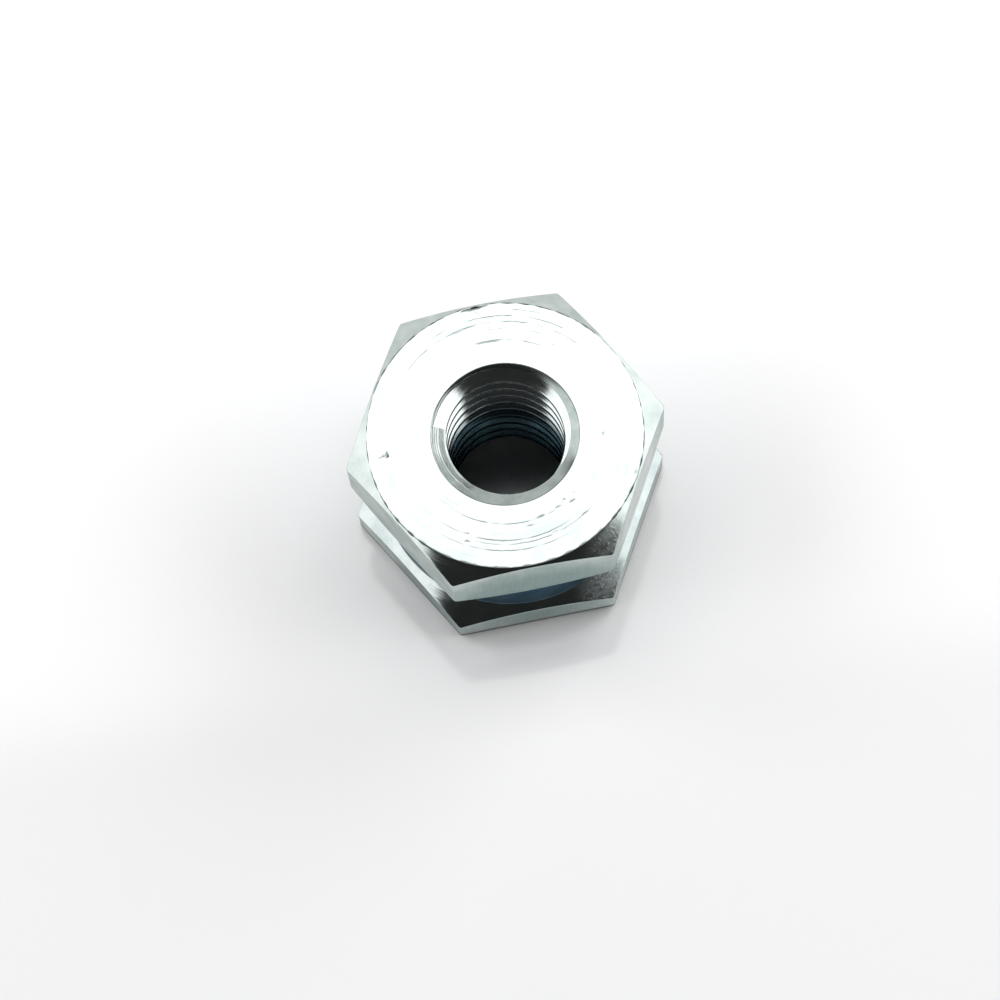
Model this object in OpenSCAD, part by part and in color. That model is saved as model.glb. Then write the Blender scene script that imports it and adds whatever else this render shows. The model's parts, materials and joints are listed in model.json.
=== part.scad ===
// Slot nut: a nut turned from hexagon bar, with a groove round its waist that
// leaves a thick upper flange and a thinner lower one. The neck between them runs
// in a slot, and a screw goes into the threaded hole along the axis.
// Origin at the centre of the bottom face, +Z along the thread, millimetres.

/* [Hexagon bar] */
// Width across the flats
across_flats = 16; // [13:0.5:24]
// How far the bar's rounded corners stop short of sharp ones
corner_break = 0.04; // [0.02:0.01:0.3]
// Chamfer that breaks the bottom edge
bottom_break = 0.2; // [0.05:0.05:0.5]

/* [Flanges and groove] */
// Thickness of the upper flange at the neck
upper_flange_t = 5; // [3:0.1:10]
// Thickness of the lower flange at the neck
lower_flange_t = 3; // [2:0.1:8]
// Width of the groove at its floor
groove_w = 4; // [2:0.1:10]
// Depth of the groove below the middle of a flat
groove_depth = 0.5; // [0.3:0.05:1.2]
// Slope of the groove's flanks, 0 being square to the axis
flank_angle = 30; // [5:1:35]
// Nose radius of the grooving tool
nose_r = 0.1; // [0.05:0.05:0.4]

/* [Top edge] */
// Inset of the round top land from the middle of a flat
land_inset = 0.125; // [0.05:0.025:0.5]
// Slope of the top chamfer, 0 being square to the axis
chamfer_angle = 30; // [15:1:45]

/* [Threaded hole] */
// Nominal diameter of the thread
thread_d = 8; // [4:0.5:10]
// Pitch of the thread
thread_pitch = 1.25; // [0.5:0.05:1.5]
// How much wider than the thread each countersink's mouth is
mouth_over = 0.45; // [0.2:0.05:1]
// Full angle of the countersinks
countersink_angle = 120; // [60:5:140]

/* [Hidden] */
$fn = 96;

apothem = across_flats / 2;
sharp_corner_r = apothem / cos(30);
neck_r = apothem - groove_depth;
land_r = apothem - land_inset;

// The hole is at the thread's crests, as the tapping drill leaves it
bore_r = (thread_d - thread_pitch) / 2;
mouth_r = (thread_d + mouth_over) / 2;
countersink_h = (mouth_r - bore_r) / tan(countersink_angle / 2);

groove_bottom = lower_flange_t;
groove_top = groove_bottom + groove_w;
total_h = groove_top + upper_flange_t;

// The turned profile overshoots the bar's sharp corners
overshoot = 1;
turning_r = sharp_corner_r + overshoot;

// From a sharp corner of the groove to the start of the nose radius
nose_run = nose_r / tan((90 + flank_angle) / 2);

function flank_rise(r) = (r - neck_r) * tan(flank_angle);
function chamfer_drop(r) = (r - land_r) * tan(chamfer_angle);

// Cross-section of the bar: a hexagon with a corner on +X, and the circle that its
// rounded corners reach
module bar_section() {
    intersection() {
        circle(sharp_corner_r, $fn = 6);
        circle(sharp_corner_r - corner_break);
    }
}

// The bar, with its bottom edge broken at 45 degrees by a hexagonal taper
module bar() {
    bottom_apothem = apothem - bottom_break;
    intersection() {
        linear_extrude(total_h) bar_section();
        cylinder(
            h = total_h,
            r1 = bottom_apothem / cos(30),
            r2 = (bottom_apothem + total_h) / cos(30),
            $fn = 6
        );
    }
}

// Section of the grooving cut: a trapezium that opens outwards, with the tool's
// nose radius in both corners of its floor
module groove_section() {
    nose_on_flank = neck_r + nose_run * cos(flank_angle);
    polygon([
        [neck_r, groove_bottom + nose_run],
        [nose_on_flank, groove_bottom - flank_rise(nose_on_flank)],
        [turning_r, groove_bottom - flank_rise(turning_r)],
        [turning_r, groove_top + flank_rise(turning_r)],
        [nose_on_flank, groove_top + flank_rise(nose_on_flank)],
        [neck_r, groove_top - nose_run]
    ]);
    for (z = [groove_bottom + nose_run, groove_top - nose_run])
        translate([neck_r + nose_r, z]) circle(nose_r);
}

// Half section of what the lathe leaves: hole, countersinks, top land, chamfer
// and groove
module turned_section() {
    difference() {
        polygon([
            [bore_r, countersink_h],
            [mouth_r, 0],
            [turning_r, 0],
            [turning_r, total_h - chamfer_drop(turning_r)],
            [land_r, total_h],
            [mouth_r, total_h],
            [bore_r, total_h - countersink_h]
        ]);
        groove_section();
    }
}

module slot_nut() {
    color([0.78, 0.80, 0.81])
        intersection() {
            bar();
            rotate_extrude() turned_section();
        }
}

slot_nut();
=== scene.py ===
# Slot nut of zinc-plated steel: the looks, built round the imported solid
import json
import bmesh
import bpy
import numpy as np
from mathutils import Matrix, Vector


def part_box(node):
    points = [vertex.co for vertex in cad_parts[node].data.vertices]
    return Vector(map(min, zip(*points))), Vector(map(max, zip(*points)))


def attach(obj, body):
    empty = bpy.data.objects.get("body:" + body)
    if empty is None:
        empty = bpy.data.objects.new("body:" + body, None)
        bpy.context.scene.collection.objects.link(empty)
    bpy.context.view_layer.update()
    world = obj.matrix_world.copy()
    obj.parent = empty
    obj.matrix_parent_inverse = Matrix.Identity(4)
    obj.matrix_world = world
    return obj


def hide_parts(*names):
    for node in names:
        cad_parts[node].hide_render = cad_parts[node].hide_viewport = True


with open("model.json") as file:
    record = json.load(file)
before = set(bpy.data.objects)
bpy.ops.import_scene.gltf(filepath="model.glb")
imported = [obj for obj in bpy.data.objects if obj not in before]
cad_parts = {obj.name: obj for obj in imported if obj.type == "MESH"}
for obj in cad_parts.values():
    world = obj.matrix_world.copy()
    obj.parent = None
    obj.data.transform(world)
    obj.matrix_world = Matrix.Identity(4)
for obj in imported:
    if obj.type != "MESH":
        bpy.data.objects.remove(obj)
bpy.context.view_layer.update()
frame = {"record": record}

mm = 0.001
scene = bpy.context.scene


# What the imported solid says: the bar, the height and the hole, all in millimetres
low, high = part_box("slot_nut")
threadMount = next(m for m in frame["record"]["mounts"] if m["name"] == "thread")
solid = {
    "apothem": (high.y - low.y) / 2 / mm,
    "height": (high.z - low.z) / mm,
    "crestRadius": threadMount["dims"]["r_mm"],
    "wallLength": threadMount["dims"]["length_mm"],
}
solid["sinkDepth"] = (solid["height"] - solid["wallLength"]) / 2


# Camera, as the lens that took the view: a long one, from the front and high above
lens = {
    "aim": (-1.031, -3.779, 12.0),     # mm, where the lens's own axis meets the top face's plane
    "distance": 195.03,                # mm from there
    "turn": -4.55,                     # degrees round from straight in front
    "elevation": 73.09,
    "roll": -6.82,
    "focalPixels": 3465.0,             # focal length in pixels of the square frame
    "framePixels": 1000.0,
    "sensorWidth": 36.0,               # mm
    "nearest": 0.005,                  # metres, where the view starts
}


def placeCamera(lens):
    # back points from the aim to the lens: a turn in the plan, then a rise. The picture's right and up are
    # turned about it by the roll.
    turn, rise, roll = np.radians([lens["turn"], lens["elevation"], lens["roll"]])
    right = Vector((np.cos(turn), np.sin(turn), 0))
    back = Vector((np.sin(turn) * np.cos(rise), -np.cos(turn) * np.cos(rise), np.sin(rise)))
    up = back.cross(right)
    rolledRight = right * np.cos(roll) + up * np.sin(roll)
    rolledUp = up * np.cos(roll) - right * np.sin(roll)
    place = (Vector(lens["aim"]) + back * lens["distance"]) * mm
    data = bpy.data.cameras.new("productLens")
    data.sensor_width = lens["sensorWidth"]
    data.lens = lens["focalPixels"] * lens["sensorWidth"] / lens["framePixels"]
    data.clip_start = lens["nearest"]
    camera = bpy.data.objects.new("productLens", data)
    camera.matrix_world = Matrix((
        (rolledRight.x, rolledUp.x, back.x, place.x),
        (rolledRight.y, rolledUp.y, back.y, place.y),
        (rolledRight.z, rolledUp.z, back.z, place.z),
        (0, 0, 0, 1),
    ))
    scene.collection.objects.link(camera)
    scene.camera = camera


placeCamera(lens)
print("camera placed")


# Colours are sRGB hex, turned linear for the shaders
def hexColour(text):
    parts = np.array([int(text[i:i + 2], 16) for i in (1, 3, 5)]) / 255
    linear = np.where(parts <= 0.04045, parts / 12.92, ((parts + 0.055) / 1.055) ** 2.4)
    return (*linear.tolist(), 1.0)


# One node with its settings; an input given as a socket is linked, anything else is set
def addNode(tree, kind, inputs=None, **settings):
    node = tree.nodes.new(kind)
    for name, value in settings.items():
        setattr(node, name, value)
    for socket, value in (inputs or {}).items():
        if isinstance(value, bpy.types.NodeSocket):
            tree.links.new(value, node.inputs[socket])
        else:
            node.inputs[socket].default_value = value
    return node


# Bright zinc with a faint blue-green passivation, over what each tool left on the steel. Sizes in
# millimetres; marks finer than a tenth are drawn that coarse, so that they show.

# Top face: a pale mirror, combed round by the facing tool
facedZinc = {
    "name": "facedZincPlatedSteel",
    "pale": "#D6DCDA",
    "dull": "#C2CDCC",
    "cloud": 2.4,               # size of a cloudy patch
    "feed": 0.13,               # between tool marks
    "markDepth": 0.0007,
    "rough": (0.13, 0.22),
}

# Chamfer and bottom face: the same mirror, with closer marks
turnedZinc = {
    "name": "turnedZincPlatedSteel",
    "pale": "#CFD7D4",
    "dull": "#BAC6C3",
    "cloud": 1.6,
    "feed": 0.11,
    "markDepth": 0.0012,
    "rough": (0.10, 0.17),
    "scuff": ((4.5, -7.7, 11.2), 2.4, 0.18, 0.006, 0.11),
}

# Countersinks: duller, with the chatter of their cutter
sunkZinc = {
    "name": "countersunkZincPlatedSteel",
    "pale": "#B3BCB9",
    "dull": "#9DA8A5",
    "cloud": 0.9,
    # painted highlight: lighter on the countersink's left side
    "paintedPatches": (("#CAD2CF", (-3.7, 0.6, 11.8), 1.7),),
    "feed": 0.15,
    "markDepth": 0.003,
    "rough": (0.14, 0.24),
    "scuff": ((-2.6, -0.1, 11.8), 3.0, 1.0, 0.070, 0.0),
    "scored": True,             # its scuff is drawn out along the path, with the grain in feeds
}

# Groove's flanks: a clear mirror, ringed by the plunging tool
groovedZinc = {
    "name": "groovedZincPlatedSteel",
    "pale": "#CCD4D3",
    "dull": "#B4C0BF",
    "cloud": 1.6,
    "feed": 0.16,
    "markDepth": 0.0035,
    "rough": (0.08, 0.16),
    "scuff": ((4.2, -7.4, 3.0), 2.6, 0.13, 0.010, 0.13),
}

# Neck: the bottom of the groove, painted shade in a dull dark blue
neckShadeZinc = {
    "name": "neckPaintedShadeZincPlatedSteel",
    "pale": "#6F8695",
    "dull": "#5C7180",
    "edge": "#66717D",          # colour at a glancing angle, darkened with the painted shade
    # painted reflection: lighter on the neck's left side, where it faces the left box
    "paintedPatches": (("#AEB9BE", (-6.2, -4.2, 5.0), 3.6),),
    "cloud": 1.6,
    "feed": 0.16,
    "markDepth": 0.0004,
    "rough": (0.40, 0.50),
    "scuff": ((4.2, -6.6, 4.2), 2.0, 0.20, 0.010, 0.10),
}

# Flats: cold-drawn bar, satin and softly mottled, with faint lines along the bar
drawnZinc = {
    "name": "drawnZincPlatedSteel",
    "pale": "#D2DDD9",
    "dull": "#B6C4C0",
    "cloud": 1.5,
    # Painted light: shade on the front and low on the left front, and a highlight high on the right front
    "paintedPatches": (
        ("#86A09C", (0.0, -8.0, 6.0), 7.0),
        ("#8C9C99", (-6.0, -5.6, 0.6), 4.0),
        ("#EDF3F0", (6.9, -4.2, 9.4), 4.0),
    ),
    "paintedFootShade": ("#4C5452", 0.35, 0.75),   # painted contact shade at the foot: colour, heights where it is full and where it ends
    "lineWidth": 0.18,
    "lineLength": 2.0,
    "markDepth": 0.0002,
    "rough": (0.36, 0.48),
    "scuff": ((4.5, -7.9, 7.6), 1.0, 0.20, 0.012, 0.10),
}

# Thread: torn by the tap, and darker and bluer with depth, which is painted shade down the hole
tappedZinc = {
    "name": "tappedZincPlatedSteel",
    "pale": "#E6ECEB",
    "dull": "#D6DFDF",
    "cloud": 0.8,
    "feed": 0.10,
    "markDepth": 0.0010,
    "rough": (0.10, 0.18),
    "paintedDepthShade": ("#4B5F68", 3.5, 7.0),     # painted shade: colour, depths below the top where it starts and is full
}

# Crests of the thread: still as the drill left them, so duller
drilledZinc = {
    "name": "drilledZincPlatedSteel",
    "pale": "#D8DFDE",
    "dull": "#C6CFCF",
    "cloud": 0.8,
    "feed": 0.12,
    "markDepth": 0.0010,
    "rough": (0.46, 0.58),
    # painted shade down the hole, as on the thread
    "paintedDepthShade": ("#3A5460", 3.0, 6.0),
}


# Shared by the finishes: what their noise, from 0 to 1, gives, and how their patches fade
zincNoise = {
    "perRadian": 1.6,           # changes of a turned mark on its way round
    "cloudSpan": (0.35, 0.65),  # noise that gives the dull and the pale colour
    "markSpan": (0.3, 0.7),     # noise that gives the least and the most roughness
    "scuffSpan": (0.5, 0.8),    # noise that gives a scuff's lowest and highest places
    "scuffCore": 0.4,           # share of a scuff's reach where it is full
    "paintedPatchCore": 0.5,           # share of a painted patch's reach where it is full
    "paintedPatchShare": 0.85,         # of the painted patch's colour there
}


def addTint(tree, colour, tint, value, start, full, most=1.0):
    # Mixes the tint into the colour: none where the value is at the start, the most where it is full
    share = addNode(tree, "ShaderNodeMapRange", {
        "Value": value, "From Min": start, "From Max": full, "To Max": most},
        interpolation_type="SMOOTHSTEP")
    return addNode(tree, "ShaderNodeMix", {
        0: share.outputs[0], 6: colour, 7: hexColour(tint)}, data_type="RGBA").outputs[2]


def makeZinc(look):
    # marks are noise that is fine across the tool's path and slow along it, and clouds mix the two colours.
    # A painted patch of light or shade tints a ball: colour, centre and reach. A scuff is the upper half of
    # coarser noise in a ball,
    # which is duller too: centre, reach, grain, depth and dulling. A scored one is drawn out along the path.
    material = bpy.data.materials.new(look["name"])
    material.use_nodes = True
    tree = material.node_tree
    tree.nodes.clear()
    coords = addNode(tree, "ShaderNodeTexCoord")
    place = addNode(tree, "ShaderNodeVectorMath", {
        0: coords.outputs["Object"], "Scale": 1 / mm}, operation="SCALE")
    xyz = addNode(tree, "ShaderNodeSeparateXYZ", {0: place.outputs[0]})
    if "feed" in look:
        flat = addNode(tree, "ShaderNodeVectorMath", {
            0: place.outputs[0], 1: (1, 1, 0)}, operation="MULTIPLY")
        radius = addNode(tree, "ShaderNodeVectorMath", {0: flat.outputs[0]}, operation="LENGTH")
        bearing = addNode(tree, "ShaderNodeVectorMath", {0: flat.outputs[0]}, operation="NORMALIZE")
        bearingXyz = addNode(tree, "ShaderNodeSeparateXYZ", {0: bearing.outputs[0]})
        path = addNode(tree, "ShaderNodeCombineXYZ", {
            "X": radius.outputs["Value"], "Y": xyz.outputs["Z"], "Z": bearingXyz.outputs["X"]})
        stretch = (1 / look["feed"], 1 / look["feed"], zincNoise["perRadian"])
        slow = addNode(tree, "ShaderNodeMath", {
            0: bearingXyz.outputs["Y"], 1: zincNoise["perRadian"]}, operation="MULTIPLY").outputs[0]
    else:
        path = place
        stretch = (1 / look["lineWidth"], 1 / look["lineWidth"], 1 / look["lineLength"])
        slow = 0.0
    stretched = addNode(tree, "ShaderNodeVectorMath", {
        0: path.outputs[0], 1: stretch}, operation="MULTIPLY")
    marks = addNode(tree, "ShaderNodeTexNoise", {
        "Vector": stretched.outputs[0], "W": slow, "Scale": 1.0, "Detail": 2.0, "Roughness": 0.5},
        noise_dimensions="4D")
    clouds = addNode(tree, "ShaderNodeTexNoise", {
        "Vector": place.outputs[0], "Scale": 1 / look["cloud"], "Detail": 4.0, "Roughness": 0.6})
    cloudLow, cloudHigh = zincNoise["cloudSpan"]
    cloudShare = addNode(tree, "ShaderNodeMapRange", {
        "Value": clouds.outputs["Fac"], "From Min": cloudLow, "From Max": cloudHigh})
    colour = addNode(tree, "ShaderNodeMix", {
        0: cloudShare.outputs[0], 6: hexColour(look["dull"]), 7: hexColour(look["pale"])},
        data_type="RGBA").outputs[2]
    # Painted patches of light and shade, each a tinted ball
    for tint, centre, reach in look.get("paintedPatches", ()):
        away = addNode(tree, "ShaderNodeVectorMath", {
            0: place.outputs[0], 1: centre}, operation="DISTANCE")
        core = reach * zincNoise["paintedPatchCore"]
        colour = addTint(tree, colour, tint, away.outputs["Value"], reach, core, zincNoise["paintedPatchShare"])
    # Painted shade at the foot, darker towards the bottom
    if "paintedFootShade" in look:
        tint, full, end = look["paintedFootShade"]
        colour = addTint(tree, colour, tint, xyz.outputs["Z"], end, full)
    # Painted shade down the hole, darker with depth
    if "paintedDepthShade" in look:
        tint, start, full = look["paintedDepthShade"]
        depth = addNode(tree, "ShaderNodeMath", {
            0: solid["height"], 1: xyz.outputs["Z"]}, operation="SUBTRACT")
        colour = addTint(tree, colour, tint, depth.outputs[0], start, full)
    height = addNode(tree, "ShaderNodeMath", {
        0: marks.outputs["Fac"], 1: look["markDepth"]}, operation="MULTIPLY").outputs[0]
    markLow, markHigh = zincNoise["markSpan"]
    rough = addNode(tree, "ShaderNodeMapRange", {
        "Value": marks.outputs["Fac"], "From Min": markLow, "From Max": markHigh,
        "To Min": look["rough"][0], "To Max": look["rough"][1]}).outputs[0]
    if "scuff" in look:
        centre, reach, grain, scuffDepth, dulling = look["scuff"]
        away = addNode(tree, "ShaderNodeVectorMath", {
            0: place.outputs[0], 1: centre}, operation="DISTANCE")
        inside = addNode(tree, "ShaderNodeMapRange", {
            "Value": away.outputs["Value"], "From Min": reach, "From Max": reach * zincNoise["scuffCore"]},
            interpolation_type="SMOOTHSTEP")
        grainPath = stretched if "scored" in look else place
        grains = addNode(tree, "ShaderNodeTexNoise", {
            "Vector": grainPath.outputs[0], "Scale": 1 / grain, "Detail": 3.0, "Roughness": 0.6})
        scuffLow, scuffHigh = zincNoise["scuffSpan"]
        raised = addNode(tree, "ShaderNodeMapRange", {
            "Value": grains.outputs["Fac"], "From Min": scuffLow, "From Max": scuffHigh,
            "To Max": scuffDepth})
        height = addNode(tree, "ShaderNodeMath", {
            0: raised.outputs[0], 1: inside.outputs[0], 2: height}, operation="MULTIPLY_ADD").outputs[0]
        rough = addNode(tree, "ShaderNodeMath", {
            0: inside.outputs[0], 1: dulling, 2: rough}, operation="MULTIPLY_ADD").outputs[0]
    bump = addNode(tree, "ShaderNodeBump", {"Height": height, "Strength": 1.0, "Distance": mm})
    metal = addNode(tree, "ShaderNodeBsdfPrincipled", {
        "Base Color": colour, "Metallic": 1.0, "Roughness": rough, "Normal": bump.outputs["Normal"]})
    if "edge" in look:
        metal.inputs["Specular Tint"].default_value = hexColour(look["edge"])
    addNode(tree, "ShaderNodeOutputMaterial", {"Surface": metal.outputs["BSDF"]})
    return material


# The nut, in millimetres. The bar, height and hole come from the solid above.
nut = {
    "cornerRadius": 0.25,       # of the drawn bar
    "grooveBottom": 3.0,
    "grooveTop": 7.0,
    "neckRadius": 7.5,
    "flankSlope": 30.0,         # degrees
    "noseRadius": 0.1,          # of the grooving tool
    "landRadius": 7.875,
    "chamferSlope": 30.0,       # degrees
    "pitch": 1.25,
    "rootRadius": 4.1,          # of the thread: 8 mm across, and 0.2 over for the plating
    "rootFlat": 0.125,          # of a pitch
    "threadBlunt": 0.018,       # of a pitch, half the rounding of the thread's corners
    "threadGuard": 0.035,       # of a pitch, from a corner to the row that keeps its flank straight
    "mouthRadius": 4.225,       # of the countersinks
    "threadStart": 237.0,       # degrees of a turn that a crest has climbed from the bottom at +X
    "edgeRadius": 0.07,         # where the tool left a sharp edge and the plating rounded it
    "mouthEdgeRadius": 0.13,    # of the countersinks' outer edge
    "rimRadius": 0.18,          # of the top face's rim, before its wear
    "bottomRadius": 0.3,        # of the bottom edge, rounded by tumbling
    "sideSteps": 20,            # columns from a corner's arc to the middle of a flat
    "arcSteps": 8,              # columns round a corner
    "edgeSteps": 3,             # rows round an edge
    "guard": 0.06,              # from a rounding to the row that keeps the next stretch straight
    "topStep": 0.11,            # between rows of the top face, away from its marks
    "rimStep": 0.03,            # between the rows close to its rim
    "topGrid": 0.02,            # between the radii that its rows may have
    "weld": 0.0001,             # points closer than this are one
    "sharpFrom": 42.0,          # degrees between two faces, from which their edge is sharp
    "finishes": (
        facedZinc, turnedZinc, sunkZinc, groovedZinc, neckShadeZinc, drawnZinc, tappedZinc, drilledZinc),
}

# Arcs that the facing tool scored in the top face: radius in mm, bearing of the middle and half the spread in
# degrees round from +X, and depth in mm
facingArcs = {
    "halfWidth": 0.06,
    "scores": (
        (6.72, 108, 44, 0.013),
        (6.72, 55, 26, 0.011),
        (5.62, 85, 36, 0.011),
        (7.08, 62, 40, 0.011),
        (7.08, 100, 30, 0.009),
        (7.46, 76, 32, 0.009),
        (6.30, 70, 40, 0.005),
        (5.36, 256, 48, 0.008),
        (6.32, 260, 38, 0.010),
        (6.56, 275, 40, 0.007),
        (6.92, 258, 34, 0.007),
        (5.06, 205, 24, 0.004),
    ),
}

# Wear of the top face's rim: each wave's count round the axis, how far and how often its pace wavers, and its
# share of the rim's radius; and the least and most that the radius is multiplied by
rimWear = {
    "waves": ((37, 2, 5, 0.6), (71, 3, 7, 0.5)),
    "limits": (0.2, 2.0),
}

# Knocks in the top: x and y, the bearing of the long side in degrees, half the length, half the width and the
# depth, which is below zero for a burr
knocks = (
    (-7.05, 0.02, 10, 0.45, 0.08, 0.012),
    (-6.80, 0.06, 0, 0.14, 0.13, 0.038),
    (3.68, 4.55, 60, 0.26, 0.16, 0.040),
    (5.40, -1.25, 40, 0.16, 0.13, 0.030),
    (2.92, -4.71, 20, 0.18, 0.13, 0.028),
    (6.77, -3.83, 60, 0.20, 0.15, 0.040),
    (4.20, 6.90, 150, 0.30, 0.18, 0.050),
    (3.09, -4.25, 30, 0.15, 0.10, 0.020),
    (0.33, -5.63, 0, 0.16, 0.10, 0.018),
    (3.44, -5.56, 40, 0.20, 0.10, 0.017),
    (1.03, -5.24, 15, 0.19, 0.10, 0.022),
    (1.65, -6.26, 30, 0.16, 0.11, 0.018),
    (-3.32, -5.83, 0, 0.16, 0.12, 0.019),
    (2.03, -4.89, 25, 0.19, 0.09, 0.017),
    (-3.23, -5.36, 150, 0.20, 0.09, 0.018),
    (-2.16, -4.91, 156, 0.18, 0.09, 0.014),
    (-0.14, -6.97, 0, 0.15, 0.10, 0.014),
    (2.51, -4.52, 30, 0.15, 0.11, 0.014),
    (-0.80, 7.84, 0, 0.35, 0.16, -0.080),
    (-0.25, 7.86, 3, 0.40, 0.18, -0.100),
    (0.30, 7.88, 8, 0.30, 0.12, -0.050),
)


def barAngles(nut):
    # Columns of the grid. A corner's arc ends where it touches the flats, at the angle whose tangent is
    # radius / 2 over (centre + radius * cos 30), so every tangent line is a column.
    centre = (solid["apothem"] - nut["cornerRadius"]) / np.cos(np.pi / 6)
    reach = np.arctan2(nut["cornerRadius"] / 2, centre + nut["cornerRadius"] * np.cos(np.pi / 6))
    side = np.linspace(-np.pi / 6, -reach, nut["sideSteps"], endpoint=False)
    arc = np.linspace(-reach, reach, nut["arcSteps"], endpoint=False)
    other = np.linspace(reach, np.pi / 6, nut["sideSteps"], endpoint=False)
    sector = np.concatenate([side, arc, other])
    turns = np.arange(6) * np.pi / 3
    return (turns[:, None] + sector[None, :]).ravel()


def barRadius(angle, nut):
    # Distance from the axis to the bar's skin: apothem / cos(angle from the flat's middle) on a flat, and the
    # far crossing with the corner's circle near a corner.
    fromCorner = (angle + np.pi / 6) % (np.pi / 3) - np.pi / 6
    flat = solid["apothem"] / np.cos(np.pi / 6 - np.abs(fromCorner))
    centre = (solid["apothem"] - nut["cornerRadius"]) / np.cos(np.pi / 6)
    under = np.clip(nut["cornerRadius"] ** 2 - (centre * np.sin(fromCorner)) ** 2, 0, None)
    arc = centre * np.cos(fromCorner) + np.sqrt(under)
    reach = np.arctan2(nut["cornerRadius"] / 2, centre + nut["cornerRadius"] * np.cos(np.pi / 6))
    return np.where(np.abs(fromCorner) <= reach, arc, flat)


def roundCorner(before, corner, after, radius, steps):
    # Arc that touches both sides of a corner of the section: it starts radius / tan(half the angle) along one
    # side, and its centre is on the bisector at radius / sin(half the angle). Arrays hold r and z for every
    # column.
    toBefore = before - corner
    toBefore = toBefore / np.linalg.norm(toBefore, axis=-1, keepdims=True)
    toAfter = after - corner
    toAfter = toAfter / np.linalg.norm(toAfter, axis=-1, keepdims=True)
    cosine = np.clip((toBefore * toAfter).sum(-1, keepdims=True), -1, 1)
    half = np.arccos(cosine) / 2
    bisector = toBefore + toAfter
    bisector = bisector / np.linalg.norm(bisector, axis=-1, keepdims=True)
    centre = corner + bisector * radius / np.sin(half)
    first = corner + toBefore * radius / np.tan(half) - centre
    last = corner + toAfter * radius / np.tan(half) - centre
    sweep = np.pi - 2 * half
    share = np.linspace(0, 1, steps + 1)[:, None, None]
    weightFirst = np.sin((1 - share) * sweep) / np.sin(sweep)
    weightLast = np.sin(share * sweep) / np.sin(sweep)
    return centre + first * weightFirst + last * weightLast


def outsideRows(angle, nut):
    # The section outside the hole, from the bottom mouth round to the top one: its corners for every column,
    # each rounded, with a guard row close to both ends of every straight stretch
    skin = barRadius(angle, nut)
    height = solid["height"]
    depth = solid["sinkDepth"]
    mouth = nut["mouthRadius"]
    flank = np.tan(np.radians(nut["flankSlope"]))
    chamfer = np.tan(np.radians(nut["chamferSlope"]))

    def at(r, z):
        return np.stack(np.broadcast_arrays(r + 0 * skin, z + 0 * skin), -1)

    edge, nose = nut["edgeRadius"], nut["noseRadius"]
    neck, land = nut["neckRadius"], nut["landRadius"]
    lowEdge = nut["grooveBottom"] - (skin - neck) * flank
    highEdge = nut["grooveTop"] + (skin - neck) * flank
    shoulder = height - (skin - land) * chamfer
    # place, rounding, finish of the rounding, and finish of the stretch that follows
    corners = [
        (at(solid["crestRadius"], depth), None, None, None),
        (at(mouth, 0), nut["mouthEdgeRadius"], "sunk", "turned"),
        (at(skin, 0), nut["bottomRadius"], "drawn", "drawn"),
        (at(skin, lowEdge), edge, "grooved", "grooved"),
        (at(neck, nut["grooveBottom"]), nose, "neck", "neck"),
        (at(neck, nut["grooveTop"]), nose, "neck", "grooved"),
        (at(skin, highEdge), edge, "grooved", "drawn"),
        (at(skin, shoulder), edge, "turned", "turned"),
        (at(land, height), wornRim(angle, nut), "faced", "faced"),
        (at(mouth, height), nut["mouthEdgeRadius"], "sunk", None),
        (at(solid["crestRadius"], height - depth), None, None, None),
    ]
    arcs = [
        roundCorner(corners[k - 1][0], corners[k][0], corners[k + 1][0], corners[k][1], nut["edgeSteps"])
        for k in range(1, len(corners) - 1)
    ]
    rows, finishes = [arcs[0]], [corners[1][2]] * nut["edgeSteps"]
    for k in range(1, len(arcs)):
        bendFinish, finish = corners[k + 1][2], corners[k][3]
        start, end = arcs[k - 1][-1], arcs[k][0]
        length = np.linalg.norm(end - start, axis=-1, keepdims=True)
        guard = np.minimum(nut["guard"] / length, 1 / 3)
        if finish == "faced":
            outer, inner = start[0, 0], end[0, 0]
            share = ((outer - topRadii(outer, inner, nut)) / (outer - inner))[:, None, None]
        else:
            share = np.stack([guard, 1 - guard])
        stretch = start + (end - start) * share
        if finish == "faced":
            stretch[..., 1] -= scoreDepth(stretch[..., 0], angle)
        rows += [stretch, arcs[k]]
        finishes += [finish] * (len(share) + 1) + [bendFinish] * nut["edgeSteps"]
    return np.concatenate(rows), finishes


def wornRim(angle, nut):
    # Radius of the top face's rim for every column: knocks and tumbling wore it unevenly, so it is multiplied
    # by 1 plus the sum of the waves, each share * sin(count * angle + waver * sin(often * angle))
    wear = sum(
        share * np.sin(count * angle + waver * np.sin(often * angle))
        for count, waver, often, share in rimWear["waves"]
    )
    return nut["rimRadius"] * np.clip(1 + wear, *rimWear["limits"])[:, None]


def topRadii(outer, inner, nut):
    # Rows of the top face from the outside in: even ones, five close to the rim, and seven across each scored
    # arc, all rounded to the grid
    even = np.arange(inner, outer, nut["topStep"])
    rim = outer - nut["rimStep"] * np.arange(1, 6)
    across = np.linspace(-1.5, 1.5, 7) * facingArcs["halfWidth"]
    scored = np.array([score[0] for score in facingArcs["scores"]])[:, None] + across
    grid = nut["topGrid"]
    radii = np.unique(np.round(np.concatenate([even, rim, scored.ravel()]) / grid)) * grid
    return radii[(radii > inner + grid / 2) & (radii < outer - grid / 2)][::-1]


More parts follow.
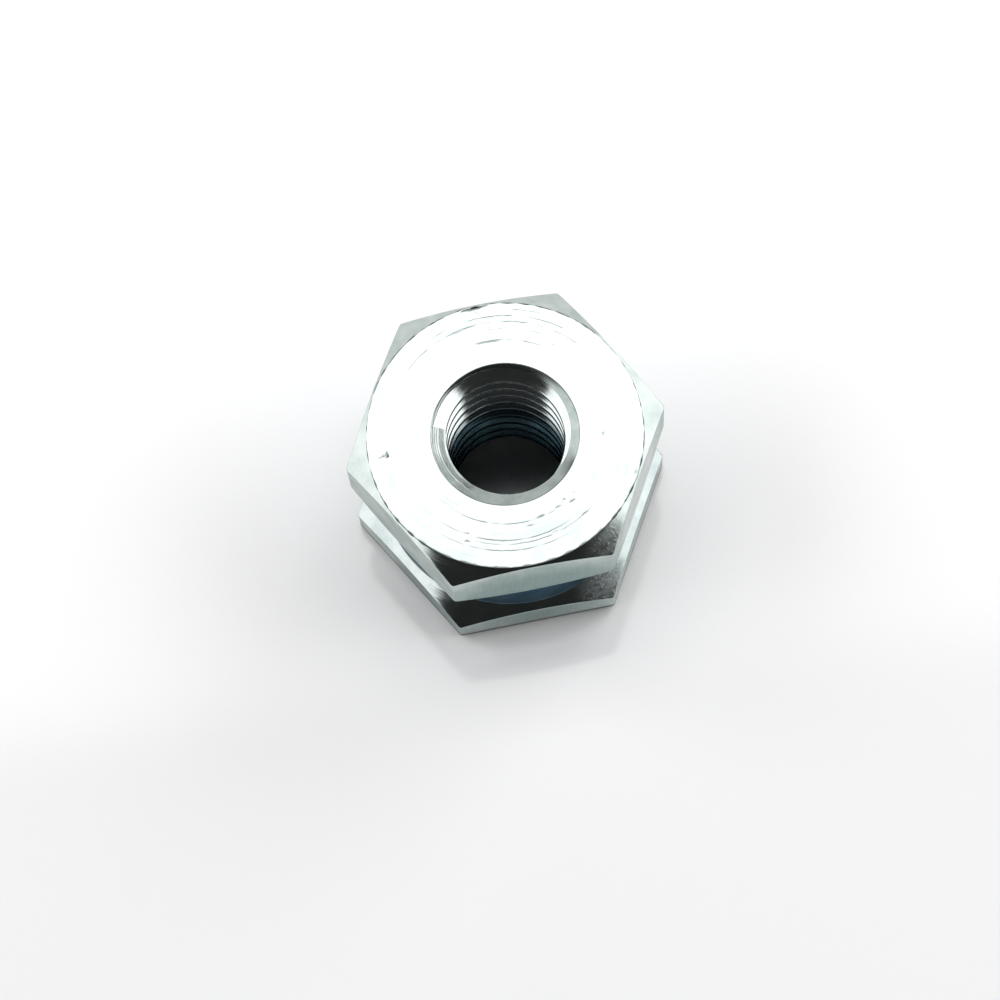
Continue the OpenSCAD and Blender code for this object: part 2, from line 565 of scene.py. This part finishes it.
def scoreDepth(r, angle):
    # Depth of the facing arcs: a raised cosine across each arc, faded along its spread by 1 - (angle / spread)
    # squared and broken up by a slow and a quick wave round the axis
    radius, middle, spread, depth = np.array(facingArcs["scores"]).T[:, :, None, None]
    across = np.clip(np.abs(r - radius) / facingArcs["halfWidth"], 0, 1)
    turn = (angle - np.radians(middle) + np.pi) % (2 * np.pi) - np.pi
    along = np.clip(1 - (turn / np.radians(spread)) ** 2, 0, 1)
    slow = 0.5 * np.sin(13 * angle + 9 * radius)
    quick = 0.35 * np.sin(41 * angle + 4 * radius)
    broken = np.clip(0.75 + slow + quick, 0.1, 1)
    return (depth * (0.5 + 0.5 * np.cos(np.pi * across)) * along * broken).sum(0)


def knockPoints(points):
    # Presses each knock straight down as a cone whose height is
    # 1 - sqrt((along / length)^2 + (across / width)^2), made ragged by a fine wave, and fading to nothing 1 mm
    # below the top
    share = np.clip(points[:, 2] - (solid["height"] - 1), 0, 1)
    for x, y, bearing, length, width, depth in knocks:
        turn = np.radians(bearing)
        dx, dy = points[:, 0] - x, points[:, 1] - y
        along = dx * np.cos(turn) + dy * np.sin(turn)
        across = dy * np.cos(turn) - dx * np.sin(turn)
        ragged = 0.75 + 0.25 * np.sin(along * 31 + across * 17)
        cone = np.clip(1 - np.hypot(along / length, across / width), 0, 1)
        points[:, 2] -= depth * ragged * share * cone
    return points


def threadRows(angle, rim, nut):
    # The hole: rows that climb with the helix, one pitch in a turn, at the corners of the thread's section, and
    # rows where a countersink's cone crosses a crest, a flank or a root. The wider of thread and cone is the
    # surface, as far as the rim. Phases are in pitches from the middle of a crest.
    height, pitch = solid["height"], nut["pitch"]
    crest, root, mouth = solid["crestRadius"], nut["rootRadius"], nut["mouthRadius"]
    steep = (mouth - crest) / solid["sinkDepth"]
    rise = (root - crest) * np.tan(np.pi / 6) / pitch
    rootEdge = 0.5 - nut["rootFlat"] / 2
    crestEdge = rootEdge - rise
    flank = (root - crest) / rise
    blunt, guard = nut["threadBlunt"], nut["threadGuard"]

    turns = np.arange(-2, np.ceil(height / pitch) + 2)
    middle = turns[:, None] + (angle[None, :] + np.radians(nut["threadStart"])) / (2 * np.pi)
    side = np.where(middle > height / pitch / 2, 1, -1)
    fromEnd = np.minimum(middle, height / pitch - middle)
    crestCrossing = side * (fromEnd - solid["sinkDepth"] / pitch)
    atCrest = np.clip(crestCrossing, blunt - crestEdge, crestEdge - blunt)
    rootCrossing = side * (fromEnd - (mouth - root) / steep / pitch)
    atRoot = np.clip(rootCrossing, rootEdge + blunt, 1 - rootEdge - blunt)
    atFlank = (mouth - crest + flank * crestEdge - steep * pitch * fromEnd) / (flank + steep * pitch)
    atFlank = np.clip(atFlank, crestEdge + guard, rootEdge - guard)
    under = -np.where(side > 0, atFlank, crestEdge + guard)
    over = np.where(side < 0, atFlank, crestEdge + guard)
    phases = [
        -rootEdge - blunt, -rootEdge + blunt, -rootEdge + guard, under, -crestEdge - guard,
        -crestEdge - blunt, -crestEdge + blunt, atCrest, crestEdge - blunt, crestEdge + blunt,
        crestEdge + guard, over, rootEdge - guard, rootEdge - blunt, rootEdge + blunt, atRoot]
    phase = np.stack([p + 0 * middle for p in phases], 1)

    def cut(phase):
        share = (np.abs((phase + 0.5) % 1 - 0.5) - crestEdge) / (rootEdge - crestEdge)
        return (root - crest) * np.clip(share, 0, 1)

    thread = (crest + (cut(phase - blunt) + cut(phase + blunt)) / 2).reshape(-1, len(angle))
    z = (pitch * (middle[:, None] + phase)).reshape(-1, len(angle))
    thread, z = slideToCone(thread, z, mouth, steep, height)
    z = np.clip(z, height - rim[1], rim[1])
    cone = mouth - steep * np.minimum(z, height - z)
    ends = (z >= rim[1]) | (z <= height - rim[1])
    r = np.where(ends, rim[0], np.maximum(thread, cone))
    onCone = ends | (cone > thread - nut["weld"])
    onCrest = r < crest + nut["weld"]
    return np.stack([r, z], -1)[::-1], onCone[::-1].ravel(), onCrest[::-1].ravel(), len(phases)


def slideToCone(thread, z, mouth, steep, height):
    # Where the thread's section goes through a cone between two rows, the row that the cone cuts off slides
    # along the section to the crossing, at the share of the gap that is proud / (proud + cut off)
    proud = thread - mouth + steep * np.minimum(z, height - z)
    upper = z[1:] > height / 2
    crossesUp = upper & (proud[:-1] > 0) & (proud[1:] < 0)
    crossesDown = ~upper & (proud[:-1] < 0) & (proud[1:] > 0)
    gap = np.where(crossesUp | crossesDown, proud[:-1] - proud[1:], 1)
    share = proud[:-1] / gap
    slidThread = thread[:-1] + share * (thread[1:] - thread[:-1])
    slidZ = z[:-1] + share * (z[1:] - z[:-1])
    newThread, newZ = thread.copy(), z.copy()
    newThread[1:] = np.where(crossesUp, slidThread, newThread[1:])
    newZ[1:] = np.where(crossesUp, slidZ, newZ[1:])
    newThread[:-1] = np.where(crossesDown, slidThread, newThread[:-1])
    newZ[:-1] = np.where(crossesDown, slidZ, newZ[:-1])
    return newThread, newZ


def gridFaces(rows, columns, shift):
    # Quads between neighbouring rows and columns. The last column joins the first, shift rows further on.
    index = np.arange(rows * columns).reshape(rows, columns)
    inner = np.stack([index[:-1, :-1], index[:-1, 1:], index[1:, 1:], index[1:, :-1]], -1).reshape(-1, 4)
    first = index[shift:, 0] if shift >= 0 else index[:shift, 0]
    last = index[:rows - shift, -1] if shift >= 0 else index[-shift:, -1]
    seam = np.stack([last[:-1], first[:-1], first[1:], last[1:]], -1)
    return np.concatenate([inner, seam])


def spinRows(rows, angle):
    # Carries the section's r and z round the axis: x = r cos, y = r sin
    r, z = rows[..., 0], rows[..., 1]
    return np.stack([r * np.cos(angle), r * np.sin(angle), z], -1).reshape(-1, 3)


def sharpenMouths(mesh, loopEdges, sunk, tapped):
    # An edge is sharp where a countersink meets the thread: the lower of its two faces' slots is the
    # countersink's, and the higher is the thread's or its crest's
    slots = np.zeros(len(mesh.polygons), np.int32)
    mesh.polygons.foreach_get("material_index", slots)
    corners = np.zeros(len(mesh.polygons), np.int32)
    mesh.polygons.foreach_get("loop_total", corners)
    loopSlots = np.repeat(slots, corners)
    lower = np.full(len(mesh.edges), len(slots), np.int32)
    np.minimum.at(lower, loopEdges, loopSlots)
    higher = np.zeros(len(mesh.edges), np.int32)
    np.maximum.at(higher, loopEdges, loopSlots)
    sharp = np.zeros(len(mesh.edges), bool)
    mesh.edges.foreach_get("use_edge_sharp", sharp)
    mesh.edges.foreach_set("use_edge_sharp", sharp | ((lower == sunk) & (higher >= tapped)))


def makeNut(nut):
    angle = barAngles(nut)
    columns = len(angle)
    outside, finishes = outsideRows(angle, nut)
    start = np.argmin(angle % (2 * np.pi))
    holeAngle = np.roll(angle % (2 * np.pi), -start)
    hole, onCone, onCrest, perPitch = threadRows(holeAngle, outside[-1, 0], nut)
    points = np.concatenate([knockPoints(spinRows(outside, angle)), spinRows(hole, holeAngle)]) * mm
    outsideFaces = gridFaces(len(outside), columns, 0)
    holeFaces = gridFaces(len(hole), columns, -perPitch)
    order = ["faced", "turned", "sunk", "grooved", "neck", "drawn", "tapped", "drilled"]
    strip = np.array([order.index(f) for f in finishes])
    holeSlots = np.where(onCrest[holeFaces].all(1), order.index("drilled"), order.index("tapped"))
    holeSlots = np.where(onCone[holeFaces].all(1), order.index("sunk"), holeSlots)
    slots = np.concatenate([np.repeat(strip, columns - 1), strip, holeSlots])
    faces = np.concatenate([outsideFaces, holeFaces + len(outside) * columns])
    mesh = bpy.data.meshes.new("zincSlotNut")
    mesh.from_pydata(points.tolist(), [], faces.tolist())
    mesh.polygons.foreach_set("material_index", slots.astype(np.int32))
    work = bmesh.new()
    work.from_mesh(mesh)
    bmesh.ops.remove_doubles(work, verts=work.verts, dist=nut["weld"] * mm)
    bmesh.ops.dissolve_degenerate(work, edges=work.edges, dist=nut["weld"] * mm)
    print("volume in mm3", work.calc_volume() / mm ** 3)
    work.to_mesh(mesh)
    work.free()
    mesh.polygons.foreach_set("use_smooth", np.ones(len(mesh.polygons), bool))
    mesh.set_sharp_from_angle(angle=np.radians(nut["sharpFrom"]))
    loopEdges = np.zeros(len(mesh.loops), np.int32)
    mesh.loops.foreach_get("edge_index", loopEdges)
    sharpenMouths(mesh, loopEdges, order.index("sunk"), order.index("tapped"))
    openEdges = int((np.bincount(loopEdges) != 2).sum())
    print("open edges", openEdges, "triangles", len(mesh.loops) - 2 * len(mesh.polygons))
    piece = bpy.data.objects.new("zincSlotNut", mesh)
    scene.collection.objects.link(piece)
    for finish in nut["finishes"]:
        mesh.materials.append(makeZinc(finish))
    return piece


slotNut = makeNut(nut)
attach(slotNut, "root")
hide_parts("slot_nut")
print("nut made")


# Floor: a white laminate, smooth enough to show a faint reflection
floorLook = {
    "size": 3.0,                # metres
    "squares": 24,              # along a side
    "white": "#F1F1F2",
    "rough": 0.10,
    "gloss": 1.0,               # specular level of a lacquered surface
}


def makeFloor(look):
    # A flat grid of squares
    lines = look["squares"] + 1
    across = np.linspace(-look["size"] / 2, look["size"] / 2, lines)
    x, y = np.meshgrid(across, across)
    points = np.stack([x, y, 0 * x], -1).reshape(-1, 3)
    faces = gridFaces(lines, lines, 0)[:look["squares"] ** 2]
    mesh = bpy.data.meshes.new("paleFloor")
    mesh.from_pydata(points.tolist(), [], faces.tolist())
    floor = bpy.data.objects.new("paleFloor", mesh)
    scene.collection.objects.link(floor)
    material = bpy.data.materials.new("whiteLaminate")
    material.use_nodes = True
    tree = material.node_tree
    tree.nodes.clear()
    surface = addNode(tree, "ShaderNodeBsdfPrincipled", {
        "Base Color": hexColour(look["white"]), "Roughness": look["rough"],
        "Specular IOR Level": look["gloss"]})
    addNode(tree, "ShaderNodeOutputMaterial", {"Surface": surface.outputs["BSDF"]})
    mesh.materials.append(material)


makeFloor(floorLook)


# Soft studio light: boxes above, behind and at both sides, which the metal mirrors, and fills that only
# brighten the floor. The side of the lens stays dark.
softBoxes = [
    # name, azimuth and elevation in degrees, distance, width and height in metres, radiance, what it lights
    ("boxAbove", 85.4, 66.0, 0.8, 0.60, 0.31, 2.0, "metal"),
    ("boxTop", 85.4, 90.0, 0.8, 0.60, 0.36, 0.5, "metal"),
    ("boxRight", 35.5, 20.0, 0.8, 0.36, 0.62, 1.5, "all"),
    ("boxRightFront", -5.5, 24.0, 0.8, 0.74, 0.66, 1.55, "all"),
    ("boxLeft", 171.5, 25.0, 0.8, 1.16, 0.72, 1.38, "all"),
    ("boxBack", 90.0, 14.0, 1.0, 1.72, 0.50, 0.92, "all"),
    ("fillRight", 15.0, 32.0, 0.75, 0.95, 0.70, 1.65, "floor"),
    ("fillLeft", 160.0, 38.0, 0.7, 0.50, 0.40, 2.3, "floor"),
    ("fillBack", 85.4, 69.0, 0.8, 0.70, 0.30, 2.9, "floor"),
    ("fillFront", 270.0, 50.0, 0.8, 0.60, 0.40, 0.6, "floor"),
]

# What the room itself gives, all round
dimRoom = {
    "white": "#FFFFFF",
    "strength": 0.024,
}


def lightNut(boxes, room):
    # A box sends radiance * pi * area watts, whatever its distance
    for name, azimuth, elevation, distance, width, tall, radiance, lit in boxes:
        turn, rise = np.radians([azimuth, elevation])
        toward = Vector((np.cos(turn) * np.cos(rise), np.sin(turn) * np.cos(rise), np.sin(rise)))
        data = bpy.data.lights.new(name, "AREA")
        data.shape = "RECTANGLE"
        data.size = width
        data.size_y = tall
        data.energy = radiance * np.pi * width * tall
        box = bpy.data.objects.new(name, data)
        box.location = toward * distance
        box.rotation_euler = toward.to_track_quat("Z", "Y").to_euler()
        box.visible_camera = False
        box.visible_glossy = lit != "floor"
        box.visible_diffuse = lit != "metal"
        scene.collection.objects.link(box)
    world = bpy.data.worlds.new("dimRoom")
    world.use_nodes = True
    glow = world.node_tree.nodes["Background"]
    glow.inputs["Color"].default_value = hexColour(room["white"])
    glow.inputs["Strength"].default_value = room["strength"]
    scene.world = world


lightNut(softBoxes, dimRoom)
scene.view_settings.view_transform = "Standard"
print("floor and lights set")
